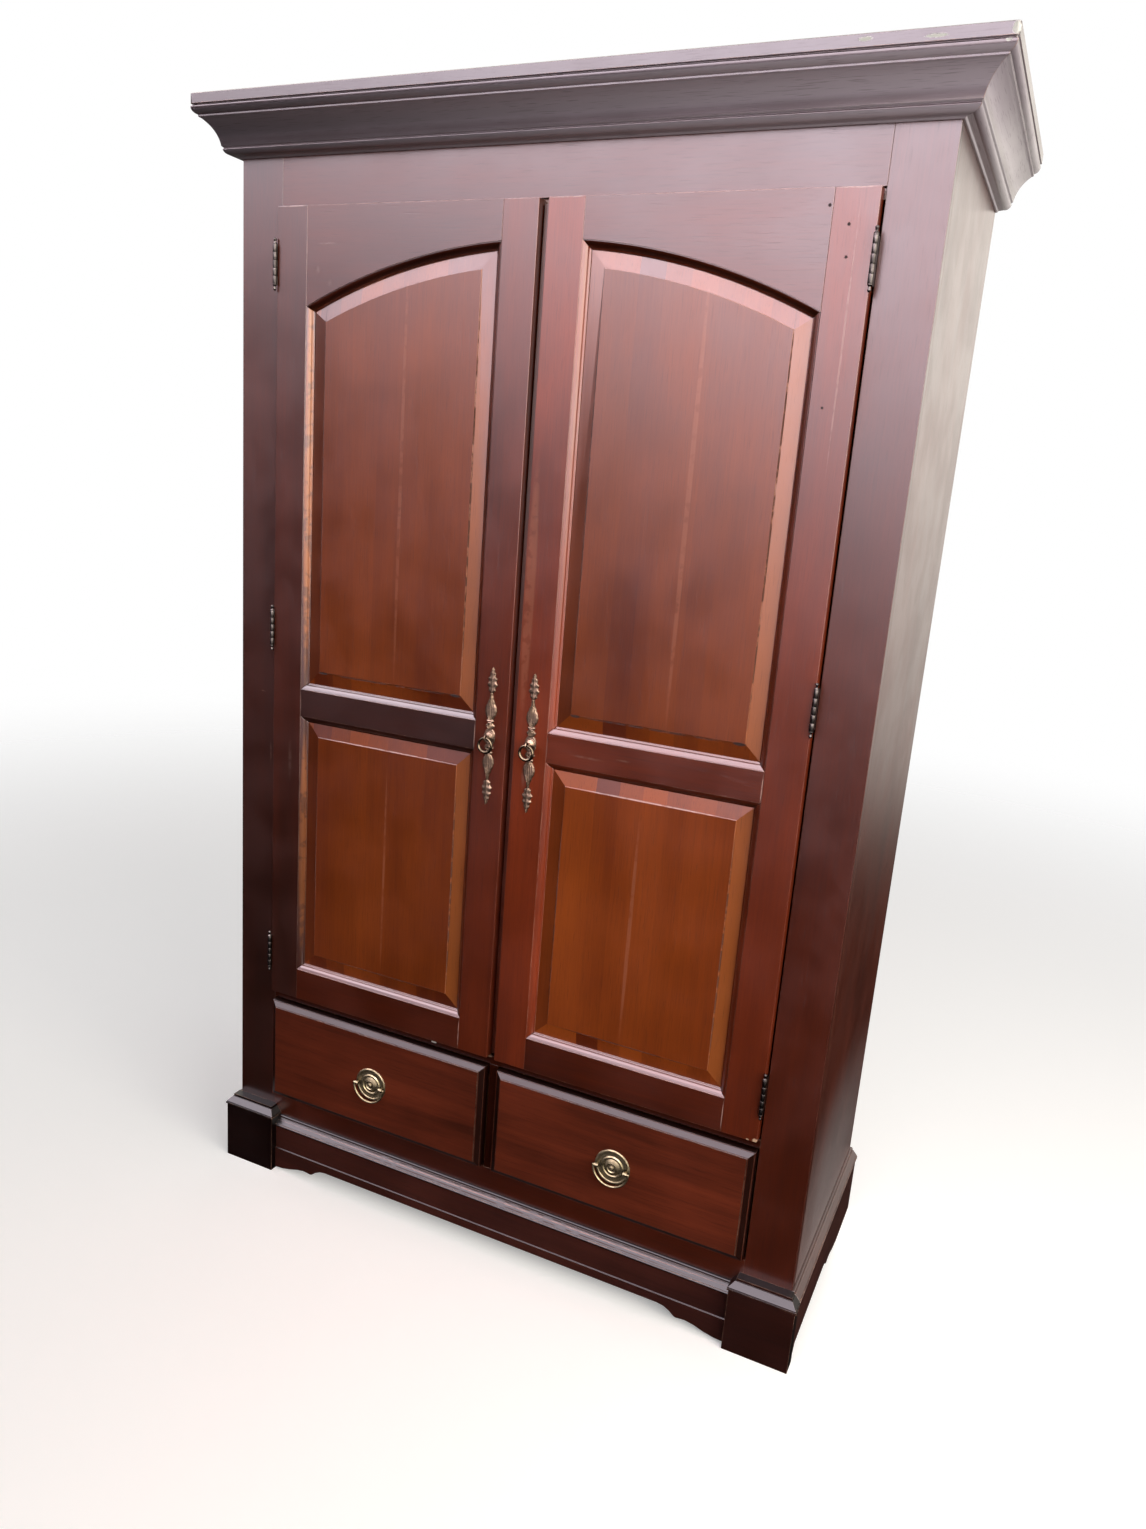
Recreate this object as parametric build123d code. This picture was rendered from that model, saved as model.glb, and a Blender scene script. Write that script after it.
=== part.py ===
from build123d import *
import os

# Two-door armoire over two drawers, in millimetres. +X is the viewer's right, the doors face -Y, +Z is up.
# The origin is the middle of the footprint of the whole cabinet, on the floor.

# Overall sizes
total_height = 2040
half_width = 600
carcass_depth = 496
cornice_out = 62
front = -(carcass_depth + cornice_out) / 2 + cornice_out
back = front + carcass_depth

# Boards
side_thick = 18
frame_thick = 20
board_thick = 18
back_thick = 6
stile_inner = 513

# Heights
floor_gap = 31
bottom_top = 168
deck_low = 388
deck_top = 405
frieze_low = 1874
cornice_low = 1951
top_board_low = 2024
shelf_z = 1740
shelf_short = 30
rail_drop = 55
rail_radius = 12.5
side_low = floor_gap + 5
back_low = floor_gap + 60
bottom_rail_low = 60
door_stop_high = 16

# Doors
door_inner = 8
door_outer = 510
door_low = 408
door_high = 1871
door_proud = 17
door_thick = 23
open_inner = 70
open_outer = 447
lower_open = (471, 989)
upper_open_low = 1040
arch_apex = 1813
arch_radius = 1031
sticking_wide = 12
sticking_deep = 11
border_wide = 25
tongue_gap = 1

# Hinges
hinge_heights = (496, 1148, 1778)
hinge_x = 511.5
hinge_out = door_proud + 4.2
barrel_radius = 3.8
barrel_long = 64
knuckle_gap = 0.4
pin_radius = 1.5
pin_clearance = 0.05
leaf_thick = 1.2
finial_long = 11

# Door pulls
pull_x = 40
pull_z = 1016
pull_half = 122
plate_thick = 2
ring_eye_out = 14
ring_radius = 12.5
ring_wire = 1.9

# Drawers
drawer_inner = 12
drawer_outer = 510
drawer_low = 171
drawer_high = 385
drawer_proud = 18
drawer_front_thick = 22
drawer_box_depth = 440
drawer_box_top = 345
drawer_side_thick = 12
drawer_side_gap = 3
bail_x = 260
bail_z = 273
bail_plate_radius = 34
bail_post_x = 28
bail_radius = 34
bail_wire = 2.0
bail_axis_out = 9

# Plinth
foot_inner = 497
foot_outer = 615
foot_out = 28
base_thick = 15
foot_top = 125
apron_top = 104


def y_of(depth):
    """Turn a depth behind the face frame into a Y coordinate."""
    return front + depth


def board(x0, x1, d0, d1, z0, z1):
    """Box between two X, two depths behind the face frame and two heights."""
    size = Box(x1 - x0, d1 - d0, z1 - z0)
    return Pos((x0 + x1) / 2, y_of((d0 + d1) / 2), (z0 + z1) / 2) * size


def plan_prism(points, z0, z1):
    """Upright prism over (x, depth) corner points."""
    outline = [(x, y_of(d)) for x, d in points]
    return Pos(0, 0, z0) * extrude(make_face(Polyline(*outline, close=True)), z1 - z0)


def front_prism(points, d0, d1):
    """Prism through the thickness of the front over (x, z) corner points."""
    outline = make_face(Polyline(*[(x, y_of(d0), z) for x, z in points], close=True))
    return extrude(outline, d1 - d0, dir=(0, 1, 0))


def mirrored(solid):
    """The same piece on the other side of the cabinet."""
    return mirror(solid, Plane.YZ)


def sided(solid, side):
    """Right-hand piece for +1, its mirror image for -1."""
    return solid if side > 0 else mirrored(solid)


def group(solids):
    """Several separate solids kept in one node."""
    return Compound(children=[s for solid in solids for s in solid.solids()])


# ---------------------------------------------------------------- carcass

def side_panel():
    return board(half_width - side_thick, half_width, frame_thick, carcass_depth, side_low, top_board_low)


def stile():
    return board(stile_inner, half_width, 0, frame_thick, side_low, top_board_low)


def frieze_rail():
    return board(-stile_inner, stile_inner, 0, frame_thick, frieze_low, top_board_low)


def bottom_rail():
    return board(-stile_inner, stile_inner, 0, frame_thick, bottom_rail_low, bottom_top)


def deck():
    """Board between the doors and the drawers, with its front rail."""
    rail = board(-stile_inner, stile_inner, 0, frame_thick, deck_low, deck_top)
    inside = half_width - side_thick
    return rail + board(-inside, inside, frame_thick, carcass_depth - back_thick, deck_low, deck_top)


def inside_board(z0, z1, d1=carcass_depth - back_thick):
    """Level board from side panel to side panel behind the face frame."""
    inside = half_width - side_thick
    return board(-inside, inside, frame_thick, d1, z0, z1)


def partition():
    half = board_thick / 2
    return board(-half, half, 0, carcass_depth - back_thick, bottom_top, deck_low)


def back_panel():
    inside = half_width - side_thick
    return board(-inside, inside, carcass_depth - back_thick, carcass_depth, back_low, top_board_low)


def door_stop():
    """Strip under the frieze that the door tops close against."""
    d0 = door_thick - door_proud + 0.5
    return board(-stile_inner, stile_inner, d0, frame_thick, frieze_low - door_stop_high, frieze_low)


def clothes_rail():
    reach = half_width - side_thick - 2
    rod = Cylinder(rail_radius, 2 * reach)
    return Pos(0, y_of(carcass_depth / 2), shelf_z - rail_drop) * Rot(0, 90, 0) * rod


def rail_sockets():
    """Cups on the side panels that carry the ends of the clothes rail."""
    cup_long = 14
    cup = Cylinder(rail_radius + 6.5, cup_long) - Pos(0, 0, -2) * Cylinder(rail_radius, cup_long)
    cup = Rot(0, 90, 0) * cup
    right = Pos(half_width - side_thick - cup_long / 2, y_of(carcass_depth / 2), shelf_z - rail_drop) * cup
    return group([right, mirrored(right)])


# ---------------------------------------------------------------- cornice

def crown_outline():
    """Closed crown section as (outward, height), from the soffit up to the top board."""
    soffit = Polyline((0, 1951), (3, 1951), (5, 1953.5), (13, 1954.5))
    bead = ThreePointArc((13, 1954.5), (21.5, 1957), (24.5, 1962))
    quirk = Polyline((24.5, 1962), (23, 1964.5), (26, 1966.5))
    cove = ThreePointArc((26, 1966.5), (34, 1988.5), (49, 2004.5))
    fillet_step = Polyline((49, 2004.5), (52.5, 2006), (52.5, 2009))
    ovolo = ThreePointArc((52.5, 2009), (59, 2013), (61, 2020.5))
    groove = Polyline((61, 2020.5), (58.5, 2022), (58.5, 2024), (0, 2024), (0, 1951))
    return soffit + bead + quirk + cove + fillet_step + ovolo + groove


def crown_bar(length):
    """Crown section run along X, standing off the plane Y = 0 towards -Y."""
    section = make_face(Plane.YZ * crown_outline())
    bar = Pos(-length / 2, 0, 0) * extrude(section, length, dir=(1, 0, 0))
    return mirror(bar, Plane.XZ)


def crown_front():
    bar = Pos(0, front, 0) * crown_bar(2 * half_width + 3 * cornice_out)
    reach = 2 * cornice_out
    corners = [(-half_width - reach, -reach), (half_width + reach, -reach), (half_width, 0), (-half_width, 0)]
    return bar & plan_prism(corners, cornice_low - 5, total_height)


def crown_side():
    length = 2 * carcass_depth
    bar = Pos(half_width, y_of(carcass_depth / 2), 0) * Rot(0, 0, 90) * crown_bar(length)
    reach = 2 * cornice_out
    corners = [(half_width, 0), (half_width + reach, -reach)]
    corners += [(half_width + reach, carcass_depth), (half_width, carcass_depth)]
    return bar & plan_prism(corners, cornice_low - 5, total_height)


def cornice_top():
    reach = half_width + cornice_out
    slab = board(-reach, reach, -cornice_out, carcass_depth, top_board_low, total_height)
    corners = slab.edges().filter_by(Axis.Z).sort_by(Axis.Y)[:2]
    slab = fillet(corners, 5)
    return chamfer(slab.faces().sort_by(Axis.Z)[-1].outer_wire().edges(), 1.2)


# ---------------------------------------------------------------- plinth

def plinth_section(out, z0, z1):
    """Board with a fillet, a sloped weathering and a top fillet above z1, as (outward, height)."""
    points = [(0, z0), (out, z0), (out, z1 - 3), (out + 2.5, z1 - 3), (out + 2.5, z1)]
    points += [(out + 1, z1 + 1), (out + 1, z1 + 2), (out - 8, z1 + 12)]
    points += [(out - 9.5, z1 + 12), (out - 9.5, z1 + 15.5), (out - 11, z1 + 17), (0, z1 + 17)]
    return points


def plinth_bar(out, z0, z1, length):
    """Plinth section run along X from the origin, standing off Y = 0 towards -Y."""
    section = make_face(Plane.YZ * Polyline(*plinth_section(out, z0, z1), close=True))
    return mirror(extrude(section, length, dir=(1, 0, 0)), Plane.XZ)


def bracket_line(start, end, straight):
    """Scalloped lower edge from a foot at start towards end, as (along, height) points."""
    way = 1 if end > start else -1
    shape = [(0, 3), (18, 4), (38, 8), (58, 14), (74, 16.5), (84, 15.5), (92, 14.5)]
    shape += [(97, 17), (104, 23), (116, 29), (130, straight)]
    return [(start + way * a, z) for a, z in shape]


def apron():
    """Board between the feet with a scalloped lower edge and a thin proud band."""
    blank = board(-foot_inner, foot_inner, -base_thick + 1, 0, 0, apron_top - 4)
    band = board(-foot_inner, foot_inner, -base_thick - 1, 0, 0, 49)
    left = bracket_line(-foot_inner, 0, floor_gap)
    right = bracket_line(foot_inner, 0, floor_gap)
    cut = [(-foot_inner, -10)] + left + right[::-1] + [(foot_inner, -10)]
    return blank + band - front_prism(cut, -40, 20)


def apron_moulding():
    bar = plinth_bar(base_thick, apron_top - 4, apron_top, 2 * foot_inner)
    return Pos(-foot_inner, front, 0) * bar


def foot_layer(out0, z0, out1, z1):
    """Slice of a front foot, from one overhang at z0 to another at z1, flat against the face frame."""
    outlines = []
    for out, z in ((out0, z0), (out1, z1)):
        corners = [(foot_inner - out, 0), (foot_inner - out, -foot_out - out)]
        corners += [(foot_outer + out, -foot_out - out), (foot_outer + out, 0)]
        points = [(x, y_of(d), z) for x, d in corners]
        outlines.append(make_face(Polyline(*points, close=True)))
    return loft(outlines, ruled=True)


def foot():
    """Block under a front corner with its moulded top on three sides."""
    block = foot_layer(0, 0, 0, foot_top - 3)
    block += foot_layer(2.5, foot_top - 3, 2.5, foot_top)
    block += foot_layer(1, foot_top, 1, foot_top + 2)
    block += foot_layer(1, foot_top + 2, -8, foot_top + 12)
    return block + foot_layer(-9.5, foot_top + 12, -9.5, foot_top + 17)


def base_side():
    """Side plinth board with the same moulding, cut away between the front foot and its own rear foot."""
    bar = plinth_bar(base_thick, 0, foot_top, carcass_depth)
    bar = Pos(half_width, front, 0) * Rot(0, 0, 90) * bar
    rear_foot = 365
    cut = [(4, -10), (4, 18), (14, floor_gap)] + bracket_line(rear_foot, 0, floor_gap)[::-1] + [(rear_foot, -10)]
    outline = make_face(Polyline(*[(half_width - 5, y_of(d), z) for d, z in cut], close=True))
    return bar - extrude(outline, 40, dir=(1, 0, 0))


# ---------------------------------------------------------------- doors

face = -door_proud
door_back = door_thick - door_proud
tongue_front = face + sticking_deep


def arch_z(x, offset=0):
    """Height of the arch line at x, moved towards the arch centre by offset."""
    radius = arch_radius - offset
    return arch_apex - arch_radius + (radius ** 2 - x ** 2) ** 0.5


def sticking_points(start):
    """Moulded inner edge as (offset into the opening, depth), reaching back into the wood by start."""
    points = [(-start, face + 1.2), (1.2, face + 1.2), (4.8, face + 2.6), (7.8, face + 5.2), (9.4, face + 8.6)]
    return points + [(sticking_wide, face + 9.2), (sticking_wide, tongue_front), (-start, tongue_front)]


def upright_sticking(x, way, z0, z1):
    """Sticking along a stile edge at x, facing way (+1 or -1 in X)."""
    points = [(x + way * o, y_of(d)) for o, d in sticking_points(2)]
    return Pos(0, 0, z0) * extrude(make_face(Polyline(*points, close=True)), z1 - z0)


def level_sticking(z, way):
    """Sticking along a straight rail edge at z, facing way (+1 up, -1 down)."""
    points = [(open_inner, y_of(d), z + way * o) for o, d in sticking_points(2)]
    return extrude(make_face(Polyline(*points, close=True)), open_outer - open_inner, dir=(1, 0, 0))


def arch_sticking():
    """Sticking swept round the arch centre."""
    points = [(0, y_of(d), arch_z(0, o)) for o, d in sticking_points(2)]
    section = make_face(Polyline(*points, close=True))
    axis = Axis((0, 0, arch_apex - arch_radius), (0, 1, 0))
    return revolve(section, axis, 32)


def corner_at(x, way, z, z_way, offset):
    """Point on the mitre of a straight corner."""
    return (x + way * offset, z + z_way * offset)


def arch_corner(x, way, offset):
    """Point on the mitre between a stile and the arch."""
    return (x + way * offset, arch_z(x + way * offset, offset))


def stile_sticking(x, way):
    """Both lengths of sticking on one stile, mitred at the openings' corners."""
    far = sticking_wide + 1
    low, high = lower_open
    lower = [(x - way * 3, low), (x, low), corner_at(x, way, low, 1, far), corner_at(x, way, high, -1, far)]
    lower += [(x, high), (x - way * 3, high)]
    top = arch_z(x)
    upper = [(x - way * 3, upper_open_low), (x, upper_open_low), corner_at(x, way, upper_open_low, 1, far)]
    upper += [arch_corner(x, way, far), (x, top), (x - way * 3, top)]
    bars = []
    for outline, z0, z1 in ((lower, low, high), (upper, upper_open_low, top + 5)):
        bars.append(upright_sticking(x, way, z0, z1) & front_prism(outline, -40, 40))
    return bars


def rail_sticking(z, way):
    """Sticking on a straight rail, mitred at both ends."""
    far = sticking_wide + 1
    outline = [(open_inner, z - way * 3), (open_inner, z), corner_at(open_inner, 1, z, way, far)]
    outline += [corner_at(open_outer, -1, z, way, far), (open_outer, z), (open_outer, z - way * 3)]
    return level_sticking(z, way) & front_prism(outline, -40, 40)


def door_stile(x0, x1, edge, way):
    blank = board(x0, x1, face, door_back, door_low, door_high)
    for bar in stile_sticking(edge, way):
        blank += bar
    return blank


def door_rail(z0, z1, edges):
    """Straight rail between the stiles, with sticking on the listed (height, way) edges."""
    blank = board(open_inner, open_outer, face, door_back, z0, z1)
    for z, way in edges:
        blank += rail_sticking(z, way)
    return blank


def arched_rail():
    blank = board(open_inner, open_outer, face, door_back, arch_z(open_outer) - 5, door_high)
    centre = Pos(0, y_of(0), arch_apex - arch_radius) * Rot(90, 0, 0)
    blank -= centre * Cylinder(arch_radius, 120)
    far = sticking_wide + 1
    outline = [(open_inner, door_high), (open_inner, arch_z(open_inner)), arch_corner(open_inner, 1, far)]
    outline += [arch_corner(open_outer, -1, far), (open_outer, arch_z(open_outer)), (open_outer, door_high)]
    return blank + (arch_sticking() & front_prism(outline, -40, 40))


def panel_face(low, high, offset, depth):
    """Outline of a panel at an offset inside its opening; high None means the arch."""
    x0, x1, z0 = open_inner + offset, open_outer - offset, low + offset
    y = y_of(depth)
    if high is not None:
        z1 = high - offset
        return make_face(Polyline((x0, y, z0), (x1, y, z0), (x1, y, z1), (x0, y, z1), close=True))
    left, right = arch_z(x0, offset), arch_z(x1, offset)
    middle = (x0 + x1) / 2
    sides = Polyline((x0, y, left), (x0, y, z0), (x1, y, z0), (x1, y, right))
    arch = ThreePointArc((x1, y, right), (middle, y, arch_z(middle, offset)), (x0, y, left))
    return make_face((sides + arch).edges())


def raised_panel(low, high):
    """Panel with a thin tongue, a sloped border and a raised flat field."""
    tongue = extrude(panel_face(low, high, tongue_gap, tongue_front), 6, dir=(0, 1, 0))
    field_edge = sticking_wide + border_wide
    outer = panel_face(low, high, sticking_wide + 0.2, tongue_front)
    inner = panel_face(low, high, field_edge - 0.5, tongue_front - 3.4)
    field = extrude(panel_face(low, high, field_edge, tongue_front - 4.8), 5, dir=(0, 1, 0))
    return tongue + loft([inner, outer], ruled=True) + field


def meeting_strip():
    """Narrow strip on the right door's free edge that closes the gap between the doors."""
    return board(-6.5, door_inner, -1, door_back, door_low + 4, door_high - 6)


# ---------------------------------------------------------------- hinges

def knuckles(z, places, bore):
    """Rings of one leaf round the hinge pin, with the tabs that join them to the leaf."""
    pitch = barrel_long / 5
    rings = []
    for place in places:
        z0 = z - barrel_long / 2 + place * pitch + knuckle_gap / 2
        length = pitch - knuckle_gap
        ring = Cylinder(barrel_radius, length) - Cylinder(bore, length)
        rings.append((Pos(hinge_x, y_of(-hinge_out), z0 + length / 2) * ring, z0, z0 + length))
    return rings


def leaf(z, places, bore, x0, reach):
    """One hinge leaf standing in the gap beside the door edge, with its knuckles."""
    x1 = x0 + leaf_thick
    plate = board(x0, x1, face, reach, z - barrel_long / 2, z + barrel_long / 2)
    for ring, z0, z1 in knuckles(z, places, bore):
        plate += ring + board(x0, x1, 2.3 - hinge_out, face + 0.1, z0, z1)
    return plate


def frame_leaf(z):
    return leaf(z, (0, 2, 4), pin_radius, stile_inner - leaf_thick, 16)


def door_leaf(z):
    return leaf(z, (1, 3), pin_radius + pin_clearance, door_outer, door_back - 2)


def hinge_pin(z):
    """Pin with a turned finial at each end."""
    half = barrel_long / 2
    pin = Cylinder(pin_radius, barrel_long)
    for end in (1, -1):
        tip = half + finial_long
        curve = Spline((3.6, end * (half + 1.4)), (2.0, end * (half + 4)), (2.6, end * (half + 7)), (0, end * tip))
        lines = Polyline((0, end * tip), (0, end * half), (3.6, end * half), (3.6, end * (half + 1.4)))
        turned = revolve(make_face((Plane.XZ * (curve + lines)).edges()), Axis.Z, 360)
        pin += turned
    return Pos(hinge_x, y_of(-hinge_out), z) * pin


# ---------------------------------------------------------------- door pulls

def escutcheon():
    """Long shaped brass plate with a post and eye for the ring."""
    upper = Spline((8, 0), (5.4, 17), (6.2, 25), (9.4, 46), (3.8, 76), (9, 95), (3.4, 110), (0.4, pull_half))
    lower = Spline((0.4, -pull_half), (3.4, -110), (9, -95), (3.8, -76), (9.4, -46), (6.2, -25), (5.4, -17), (8, 0))
    right = upper + lower
    left = mirror(right, Plane.YZ)
    ends = Line((-0.4, pull_half), (0.4, pull_half)) + Line((-0.4, -pull_half), (0.4, -pull_half))
    outline = make_face((Plane.XZ * (right + left + ends)).edges())
    plate = Pos(pull_x, y_of(face), pull_z) * extrude(outline, plate_thick, dir=(0, -1, 0))
    dome = Rot(90, 0, 0) * Cone(8, 5, 5)
    stem = Rot(90, 0, 0) * Cylinder(3, ring_eye_out)
    plate += Pos(pull_x, y_of(face - plate_thick - 2), pull_z) * dome
    plate += Pos(pull_x, y_of(face - ring_eye_out / 2), pull_z) * stem
    eye = Sphere(5.6) - Rot(0, 90, 0) * Cylinder(3.2, 14)
    return plate - ring_hole() + Pos(pull_x, y_of(face - ring_eye_out - 2), pull_z) * eye


def ring_hole():
    return Pos(pull_x, y_of(face - ring_eye_out - 2), pull_z) * Rot(0, 90, 0) * Cylinder(3.2, 14)


def drop_ring():
    """Loose ring hanging through the eye, its top centre line on the eye's axis."""
    ring = Rot(90, 0, 0) * Torus(ring_radius, ring_wire)
    return Pos(pull_x, y_of(face - ring_eye_out - 2), pull_z - ring_radius) * ring


# ---------------------------------------------------------------- drawers

def drawer_front():
    """Front board with a stepped, sloped edge on all four sides."""
    lip_deep = -drawer_proud + 6.5
    lip = board(drawer_inner, drawer_outer, lip_deep, drawer_front_thick - drawer_proud, drawer_low, drawer_high)
    outlines = []
    for inset, depth in ((1.5, lip_deep), (10.5, 1.4 - drawer_proud)):
        x0, x1 = drawer_inner + inset, drawer_outer - inset
        z0, z1 = drawer_low + inset, drawer_high - inset
        y = y_of(depth)
        outlines.append(make_face(Polyline((x0, y, z0), (x1, y, z0), (x1, y, z1), (x0, y, z1), close=True)))
    slope = loft(outlines[::-1], ruled=True)
    field = board(drawer_inner + 12, drawer_outer - 12, -drawer_proud, 0, drawer_low + 12, drawer_high - 12)
    return lip + slope + field


def drawer_sides():
    d0 = drawer_front_thick - drawer_proud
    left_x = drawer_inner + drawer_side_gap
    right_x = drawer_outer - drawer_side_gap
    left = board(left_x, left_x + drawer_side_thick, d0, drawer_box_depth, drawer_low, drawer_box_top)
    right = board(right_x - drawer_side_thick, right_x, d0, drawer_box_depth, drawer_low, drawer_box_top)
    return group([left, right])


def drawer_between(d0, d1, z0, z1):
    edge = drawer_side_gap + drawer_side_thick
    return board(drawer_inner + edge, drawer_outer - edge, d0, d1, z0, z1)


def drawer_back():
    return drawer_between(drawer_box_depth - drawer_side_thick, drawer_box_depth, drawer_low + 6, drawer_box_top)


def drawer_bottom():
    d0 = drawer_front_thick - drawer_proud
    return drawer_between(d0, drawer_box_depth - drawer_side_thick, drawer_low + 6, drawer_low + 12)


def bail_post():
    """Post with a short barrel head that is bored across for the end of the bail."""
    stem = Pos(0, -bail_axis_out / 2, 0) * Rot(90, 0, 0) * Cylinder(2.6, bail_axis_out)
    head = Pos(0, -bail_axis_out, 0) * Rot(0, 90, 0) * Cylinder(3.7, 7)
    return stem + head - Pos(0, -bail_axis_out, 0) * Rot(0, 90, 0) * Cylinder(bail_wire - 0.2, 12)


def bail_plate():
    """Round stamped plate with concentric rings, a centre button and two posts for the bail."""
    rings = [(0, 0), (bail_plate_radius, 0), (bail_plate_radius, 1.2), (32, 2.2), (29.5, 2.2), (28, 1.4), (22, 1.4)]
    rings += [(20, 3), (17.5, 3), (16, 1.8), (12, 3.6), (9, 4.6), (7.5, 3.8), (5, 3.8), (4.2, 6), (2, 7), (0, 7)]
    section = make_face(Polyline(*[(r, 0, h) for r, h in rings], close=True))
    plate = Rot(90, 0, 0) * revolve(section, Axis.Z, 360)
    for x in (-bail_post_x, bail_post_x):
        plate += Pos(x, 0, 0) * bail_post()
    return Pos(bail_x, y_of(-drawer_proud), bail_z) * plate


def bail():
    """Half-round wire handle with inturned ends that pivot in the posts."""
    wire = make_face(Plane.XY * Pos(bail_radius, 0) * CenterArc((0, 0), bail_wire, 0, 360))
    handle = revolve(wire, Axis.Y, 180)
    for way in (-1, 1):
        pin_long = bail_radius - bail_post_x + 3
        middle = bail_radius - pin_long / 2
        handle += Pos(way * middle, 0, 0) * Rot(0, 90, 0) * Cylinder(bail_wire - 0.28, pin_long)
        handle += Pos(way * bail_radius, 0, 0) * Sphere(bail_wire)
    return Pos(bail_x, y_of(-drawer_proud - bail_axis_out), bail_z) * handle


# ---------------------------------------------------------------- all pieces

def carcass_nodes():
    nodes = {
        "back_panel": back_panel(),
        "carcass_top": inside_board(top_board_low - board_thick, top_board_low),
        "deck_board": deck(),
        "bottom_board": inside_board(bottom_top - board_thick, bottom_top),
        "centre_partition": partition(),
        "frieze_rail": frieze_rail(),
        "bottom_rail": bottom_rail(),
        "door_stop": door_stop(),
        "hat_shelf": inside_board(shelf_z, shelf_z + board_thick, carcass_depth - shelf_short),
        "clothes_rail": clothes_rail(),
        "rail_sockets": rail_sockets(),
        "cornice_top": cornice_top(),
        "crown_front": crown_front(),
        "apron": apron(),
        "apron_moulding": apron_moulding(),
        "hinge_pins": group([sided(hinge_pin(z), side) for side in (1, -1) for z in hinge_heights]),
        "hinge_frame_leaves": group([sided(frame_leaf(z), side) for side in (1, -1) for z in hinge_heights]),
    }
    for name, side in (("left", -1), ("right", 1)):
        nodes["side_panel_" + name] = sided(side_panel(), side)
        nodes["stile_" + name] = sided(stile(), side)
        nodes["crown_" + name] = sided(crown_side(), side)
        nodes["foot_" + name] = sided(foot(), side)
        nodes["base_" + name] = sided(base_side(), side)
    return nodes


def door_nodes(name, side):
    low, high = lower_open
    pieces = {
        "hinge_stile": door_stile(open_outer, door_outer, open_outer, -1),
        "meeting_stile": door_stile(door_inner, open_inner, open_inner, 1),
        "top_rail": arched_rail(),
        "mid_rail": door_rail(high, upper_open_low, ((high, -1), (upper_open_low, 1))),
        "bottom_rail": door_rail(door_low, low, ((low, 1),)),
        "upper_panel": raised_panel(upper_open_low, None),
        "lower_panel": raised_panel(low, high),
        "hinge_leaves": group([door_leaf(z) for z in hinge_heights]),
        "escutcheon": escutcheon(),
        "drop_ring": drop_ring(),
    }
    return {f"door_{name}_{piece}": sided(solid, side) for piece, solid in pieces.items()}


def drawer_nodes(name, side):
    pieces = {
        "front": drawer_front(),
        "sides": drawer_sides(),
        "back": drawer_back(),
        "bottom": drawer_bottom(),
        "bail_plate": bail_plate(),
        "bail": bail(),
    }
    return {f"drawer_{name}_{piece}": sided(solid, side) for piece, solid in pieces.items()}


nodes = carcass_nodes()
nodes["door_right_meeting_strip"] = meeting_strip()
for name, side in (("left", -1), ("right", 1)):
    nodes.update(door_nodes(name, side))
    nodes.update(drawer_nodes(name, side))

os.makedirs("parts", exist_ok=True)
for node_name, solid in nodes.items():
    export_step(solid, f"parts/{node_name}.step")
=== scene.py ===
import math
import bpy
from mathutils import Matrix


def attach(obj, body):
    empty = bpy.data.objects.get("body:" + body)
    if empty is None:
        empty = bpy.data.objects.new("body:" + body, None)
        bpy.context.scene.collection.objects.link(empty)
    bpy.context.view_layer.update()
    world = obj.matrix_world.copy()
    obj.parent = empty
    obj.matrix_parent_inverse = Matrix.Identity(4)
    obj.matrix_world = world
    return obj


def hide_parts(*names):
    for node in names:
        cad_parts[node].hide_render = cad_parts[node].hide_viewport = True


bl_info = {
    "name": "Panelled armoire finishes",
    "version": (1, 0, 0),
    "blender": (4, 5, 0),
    "location": "3D View > Sidebar > Armoire",
    "description": "Lacquered wood, aged brass and a plain studio for a two-door armoire",
    "category": "Object",
}

import bmesh
import bpy
from bpy.props import FloatProperty, FloatVectorProperty, PointerProperty
from mathutils import Matrix, Vector

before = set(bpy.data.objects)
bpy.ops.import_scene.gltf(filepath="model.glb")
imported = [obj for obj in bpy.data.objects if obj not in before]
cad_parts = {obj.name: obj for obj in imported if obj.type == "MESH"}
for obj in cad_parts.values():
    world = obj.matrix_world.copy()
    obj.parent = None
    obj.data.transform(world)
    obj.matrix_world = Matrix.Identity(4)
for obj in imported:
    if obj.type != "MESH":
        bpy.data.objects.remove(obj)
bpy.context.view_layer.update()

SIDES = {"left": -1, "right": 1}

# Which of a board's own axes become X, Y and Z once its grain runs along Z
GRAIN_ORDER = {"X": "ZYX", "Y": "XZY", "Z": "XYZ"}

# How light each board is; the rest are 1. Partly real differences in stain and partly painted light and
# shade: boards on the left come out darker and those of the right door lighter, as the light falls.
STAIN_AND_SHADE = {
    "stile_left": 0.5, "stile_right": 0.5, "frieze_rail": 0.5, "bottom_rail": 0.5,
    "side_panel_left": 0.55, "side_panel_right": 0.55,
    "cornice_top": 0.5, "deck_board": 0.3, "centre_partition": 0.2, "bottom_board": 0.4,
    "foot_left": 0.12, "foot_right": 0.45, "apron": 1.05, "apron_moulding": 0.28,
    "door_left_hinge_stile": 0.55, "door_left_meeting_stile": 0.9, "door_left_top_rail": 0.5,
    "door_left_mid_rail": 0.25, "door_left_bottom_rail": 0.5, "door_left_lower_panel": 1.05,
    "door_right_hinge_stile": 1.15, "door_right_meeting_stile": 1.6, "door_right_meeting_strip": 0.6,
    "door_right_top_rail": 0.6, "door_right_bottom_rail": 0.75,
    "door_right_upper_panel": 0.85, "door_right_lower_panel": 1.28,
}
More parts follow.
